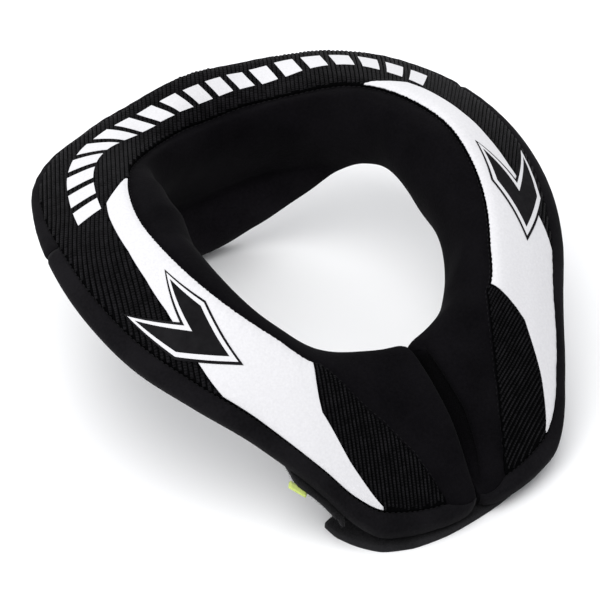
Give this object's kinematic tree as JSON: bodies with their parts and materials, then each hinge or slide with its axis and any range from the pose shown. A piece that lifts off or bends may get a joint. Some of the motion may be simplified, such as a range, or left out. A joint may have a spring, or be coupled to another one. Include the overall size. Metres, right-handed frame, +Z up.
{
  "type": "neck brace",
  "caption": "Soft C-shaped neck brace: a thick foam roll round the neck, a ribbed cloth top with white side stripes, a smooth edge band and a hook tongue that closes the split front.",
  "frame": {"origin": "middle of the base of the part's box, on the table it lies on", "axes": "+Z up from the table; the split front faces -Y and the hanging back is at +Y; right, as seen from in front, is +X"},
  "size_m": [0.2574, 0.2606, 0.1124],
  "materials": {
    "knit_cloth": "matte black stretch knit",
    "ribbed_cloth": "black diagonal twill with a faint sheen",
    "white_print": "white printed film, satin",
    "edge_cloth": "matte black stretch knit",
    "hook_tape": "black hook tape",
    "loop_tape": "dark grey loop tape",
    "tag_cloth": "yellow-green woven tape"
  },
  "bodies": {
    "root": {"collar_body": "knit_cloth", "twill_panel": "ribbed_cloth", "stripe_right": "white_print", "stripe_left": "white_print", "edge_band_right": "edge_cloth", "edge_band_left": "edge_cloth", "back_binding": "edge_cloth", "hook_tongue": "hook_tape", "loop_patch": "loop_tape", "edge_tag": "tag_cloth"}
  },
  "joints": []
}
